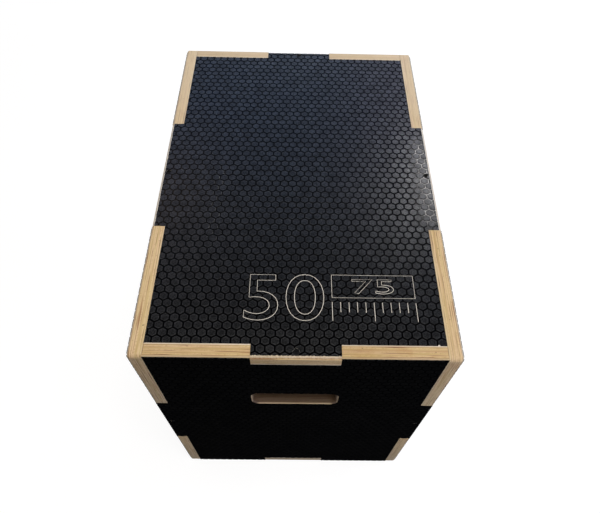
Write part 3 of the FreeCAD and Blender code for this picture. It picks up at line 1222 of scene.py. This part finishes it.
def make_film(side, seat, phase, cutters):
    """The film of one side: hexagons trimmed to the CAD film's outline, less the given cutters."""
    node = side + "_facing"
    low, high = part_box(node)
    half = seat.to_3x3().transposed() @ (high - low) / 2
    slab = grown(side + "_film", hexagon_sheet, {
        "Columns": odd_count(abs(half.x), PITCH),
        "Rows": odd_count(abs(half.y), PITCH * ROW_SHARE),
        "Pitch": PITCH,
        "Groove Width": GROOVE_WIDTH,
        "Groove Depth": GROOVE_DEPTH,
        "Thickness": SLAB_THICKNESS,
        "Face Material": film_face,
        "Rim Material": film_rim,
        "Groove Material": film_groove,
    })
    slab.transform(seat @ Matrix.Translation(phase))
    film = show(side + "_film", slab)
    block = trimming_block(node, seat.to_3x3().col[2])
    for operation, tool in [("INTERSECT", block), *[("DIFFERENCE", c) for c in cutters]]:
        cut = film.modifiers.new(operation.lower(), "BOOLEAN")
        cut.operation = operation
        cut.object = tool
        cut.solver = "MANIFOLD"
    settle(film)
    bpy.data.objects.remove(block)
    keep(film, node)


# %% Films of all sides
TOP_PHASE = Vector((5.3, -0.9, 0)) * MM
NO_PHASE = Vector((0, 0, 0))
FRONT_TAB = -360 * MM

for seed, (side, seat) in enumerate(FACES.items()):
    outwards = seat.to_3x3().col[2]
    rim = film_outline(side + "_facing", outwards)
    cutters = [chips(side + "_chips", rim, CHIP_SPACING, CHIP_SHARE, CHIP_SIZE, seed)]
    if side == "top":
        worn_rim = film_outline("top_facing", outwards, FRONT_TAB)
        cutters.append(chips("worn_tab", worn_rim, WORN_SPACING, WORN_SHARE, WORN_SIZE, seed))
        cutters.append(corner_chip())
        cutters.append(mark)
    make_film(side, seat, TOP_PHASE if side == "top" else NO_PHASE, cutters)
    for cutter in cutters:
        bpy.data.objects.remove(cutter)

# %% [markdown]
# Panels
#
# The CAD panels have the right shape, but their edges are perfectly sharp and no real board is. A
# shader can only pretend to round an edge, so each panel is copied and a Bevel rounds it: widely where
# the CAD has a chamfer, because those outer edges were sanded round, and only just along the sawn
# edges of the joints. The front and back boards end a little short of the side boards, which leaves
# the fine dark line that is seen between them, and the two far top corners are tighter than the front
# ones, as the photograph shows them.

# %% Round the edges
SANDED_ROUND = 1.6 * MM
ROUND_STEPS = 3
SAWN_SHARE = 0.22
CHAMFER_TURN = math.radians(30)


def ease_edges(panel):
    """Weighs the panel's edges by how sharply they turn, and rounds them by that weight."""
    with reshaping(panel.data) as work:
        weight = work.edges.layers.float.new("bevel_weight_edge")
        for edge in work.edges:
            turn = edge.calc_face_angle(0.0)
            if turn > SHARP_TURN:
                edge[weight] = SAWN_SHARE
            elif turn > CHAMFER_TURN:
                edge[weight] = 1.0
    bevel = panel.modifiers.new("eased_edges", "BEVEL")
    bevel.limit_method = "WEIGHT"
    bevel.width = SANDED_ROUND
    bevel.segments = ROUND_STEPS
    settle(panel)


# %% Joints and far corners
JOINT_GAP = 0.7 * MM
CORNER_RADIUS = 8.0 * MM
FAR_RADIUS = 3.2 * MM


def open_joints(mesh, side):
    """Draws the sawn ends at a distance from the middle back a little, which leaves a dark gap there."""
    for vertex in mesh.vertices:
        if abs(abs(vertex.co.x) - side) < SAME_PLACE:
            vertex.co.x -= math.copysign(JOINT_GAP, vertex.co.x)


def fill_far_corner(mesh):
    """Makes the round far top corner of a side board tighter, so that it ends level with the back board."""
    old_centre = Vector((0, cad_high.y - CORNER_RADIUS, cad_high.z - CORNER_RADIUS))
    tighter = CORNER_RADIUS - FAR_RADIUS
    for vertex in mesh.vertices:
        arm = vertex.co - old_centre
        arm.x = 0
        if min(arm.y, arm.z) > -SAME_PLACE and arm.length > tighter:
            vertex.co += Vector((0, tighter, tighter)) - arm * (tighter / arm.length)


# %% Make the boards
SMOOTH_TURN = math.radians(25)


def make_board(node, material):
    """A plywood board in the place of its CAD node."""
    board = show(node + "_board", joined_copy(node))
    if material == front_ply:
        open_joints(board.data, side_inner)
    if material == side_ply:
        fill_far_corner(board.data)
    board.data.materials.clear()
    board.data.materials.append(material)
    ease_edges(board)
    board.data.shade_smooth()
    board.data.set_sharp_from_angle(angle=SMOOTH_TURN)
    keep(board, node)


BOARDS = {
    "top_panel": level_ply,
    "bottom_panel": level_ply,
    "front_panel": front_ply,
    "back_panel": front_ply,
    "left_panel": side_ply,
    "right_panel": side_ply,
    "centre_brace": brace_ply,
}
for node, material in BOARDS.items():
    make_board(node, material)

# %% [markdown]
# Screws
#
# The tabs are held by black countersunk screws. One is built from a cone, a bar and a wound thread,
# with a cross cut in its head. Twelve copies could be placed by hand. Here the tree puts a copy on
# every point of a small mesh, which holds only the places of the screws on one side of the box.

# %% Screw material
SCREW_BLACK = (0.011, 0.011, 0.0115, 1)
BARE_STEEL = (0.03, 0.029, 0.028, 1)
WEAR_NOISE = (700.0, 3.0)
BARE_SPOTS = (0.66, 0.76)
SCREW_ROUGHNESS = (0.3, 0.7, 0.70, 0.85)
SCREW_BUMP_STRENGTH = 0.2
SCREW_BUMP_DEPTH = 0.05 * MM
SCREW_SHINE = 0.03


def screw_material():
    """Black coated steel, rubbed bare in small spots."""
    material, tree, shader = new_material("black_screw_steel")
    place = add(tree, "ShaderNodeTexCoord").outputs["Object"]
    wear = noise(tree, place, *WEAR_NOISE)
    rubbed = fade(tree, wear, *BARE_SPOTS)
    fill(tree, shader, {
        "Base Color": blend(tree, rubbed, SCREW_BLACK, BARE_STEEL),
        "Roughness": fade(tree, wear, *SCREW_ROUGHNESS),
        "Metallic": rubbed,
        "Normal": bumps(tree, SCREW_BUMP_STRENGTH, SCREW_BUMP_DEPTH, wear),
        "Specular IOR Level": SCREW_SHINE,
    })
    return material


screw_steel = screw_material()
print("screw material", screw_steel.name)

# %% Screw head and thread
HEAD_SIDES = 24
CROSS_LENGTH_SHARE = 1.1
CROSS_WIDTH_SHARE = 0.26
CROSS_DEPTH_SHARE = 1.5
RIDGE_SIDES = 4
RIDGE_SHARE = 0.2
STEPS_PER_TURN = 12


def lifted(tree, shape, height, turn=0.0):
    """A shape lifted to a height and turned about the upright axis."""
    move = {"Geometry": shape, "Translation": upright(tree, height), "Rotation": (0, 0, turn)}
    return result(tree, "GeometryNodeTransform", move)


def screw_head(tree, radius, height, shank_radius):
    """A countersunk head below height zero, with a cross cut into its top."""
    cone = {"Vertices": HEAD_SIDES, "Radius Top": radius, "Radius Bottom": shank_radius, "Depth": height}
    head = add(tree, "GeometryNodeMeshCone", cone).outputs["Mesh"]
    head = lifted(tree, head, times(tree, height, -1.0))
    size = result(tree, "ShaderNodeCombineXYZ", {
        0: times(tree, radius, CROSS_LENGTH_SHARE),
        1: times(tree, radius, CROSS_WIDTH_SHARE),
        2: times(tree, height, CROSS_DEPTH_SHARE),
    })
    blade = add(tree, "GeometryNodeMeshCube", {"Size": size}).outputs["Mesh"]
    cut = add(tree, "GeometryNodeMeshBoolean", {"Mesh 1": head, "Mesh 2": blade}, operation="DIFFERENCE")
    fill(tree, cut, {"Mesh 2": lifted(tree, blade, 0.0, math.pi / 2)})
    return cut.outputs["Mesh"]


def screw_thread(tree, turns, shank_radius, height, top):
    """A ridge wound round the shank, with its upper end a given way below height zero."""
    ridge = times(tree, shank_radius, RIDGE_SHARE)
    radius = minus(tree, shank_radius, ridge)
    winding = {"Resolution": STEPS_PER_TURN, "Rotations": turns, "Height": height}
    winding.update({"Start Radius": radius, "End Radius": radius})
    path = result(tree, "GeometryNodeCurveSpiral", winding)
    thread = bar_along(tree, path, ridge, RIDGE_SIDES)
    return lifted(tree, thread, times(tree, calc(tree, "ADD", height, top), -1.0))


# %% Screw tree
CORE_SIDES = 16
CORE_SHARE = 0.78
THREAD_SHARE = 0.9
THREAD_START_SHARE = 2.2


def build_screws():
    """A cross-head screw at every point, with its head's top at the point and its shank along -Z."""
    inputs = named_sockets("Geometry", "Places") | named_sockets("Rotation", "Turn")
    inputs |= named_sockets("Float", "Head Radius", "Head Height", "Shank Radius", "Length", "Turns")
    inputs |= named_sockets("Material", "Material")
    outputs = named_sockets("Geometry", "Screws")
    tree, entry, end = new_group("screw_set", "GeometryNodeTree", inputs, outputs)
    head_height = entry["Head Height"]
    shank_radius = entry["Shank Radius"]
    length = entry["Length"]
    head = screw_head(tree, entry["Head Radius"], head_height, shank_radius)
    core_length = minus(tree, length, head_height)
    bar = {"Vertices": CORE_SIDES, "Radius": times(tree, shank_radius, CORE_SHARE), "Depth": core_length}
    core = add(tree, "GeometryNodeMeshCylinder", bar).outputs["Mesh"]
    core = lifted(tree, core, times(tree, calc(tree, "ADD", length, head_height), -0.5))
    thread_top = times(tree, head_height, THREAD_START_SHARE)
    thread_height = times(tree, core_length, THREAD_SHARE)
    thread = screw_thread(tree, entry["Turns"], shank_radius, thread_height, thread_top)
    whole = together(tree, head, core, thread)
    spread = {"Points": entry["Places"], "Instance": whole, "Rotation": entry["Turn"]}
    copies = result(tree, "GeometryNodeInstanceOnPoints", spread)
    return finished(tree, end, copies, entry["Material"])


screw_set = build_screws()
print("screw tree", len(screw_set.nodes), "nodes")

# %% Find the screws
def separate_solids(work):
    """The vertices of an open mesh, sorted into its separate solids."""
    solids = []
    sorted_already = set()
    for start in work.verts:
        if start in sorted_already:
            continue
        reached = {start}
        border = {start}
        while border:
            border = {e.other_vert(v) for v in border for e in v.link_edges} - reached
            reached |= border
        sorted_already |= reached
        solids.append(reached)
    return solids


def screw_places(node, outwards):
    """The middle of each separate solid of a screw node, moved out to the top of its head."""
    places = []
    with reshaping(joined_copy(node)) as work:
        for solid in separate_solids(work):
            low, high = extent([v.co for v in solid])
            middle = (low + high) / 2
            places.append(middle + outwards * abs((high - middle).dot(outwards)))
    return places


# %% Place the screws
SCREW_HEAD_RADIUS = 5.0 * MM
SCREW_HEAD_HEIGHT = 1.5 * MM
SCREW_SHANK_RADIUS = 3.5 * MM
SCREW_LENGTH = 50.0 * MM
SCREW_TURNS = 11.0

for side in ("top", "bottom", "front", "back"):
    outwards = FACES[side].to_3x3().col[2]
    spots = bpy.data.meshes.new(side + "_screw_places")
    spots.from_pydata(screw_places(side + "_screws", outwards), [], [])
    mesh = grown(side + "_screw_heads", screw_set, {
        "Turn": UP.rotation_difference(outwards).to_euler(),
        "Head Radius": SCREW_HEAD_RADIUS,
        "Head Height": SCREW_HEAD_HEIGHT,
        "Shank Radius": SCREW_SHANK_RADIUS,
        "Length": SCREW_LENGTH,
        "Turns": SCREW_TURNS,
        "Material": screw_steel,
    }, spots)
    keep(show(side + "_cross_screws", mesh), side + "_screws")
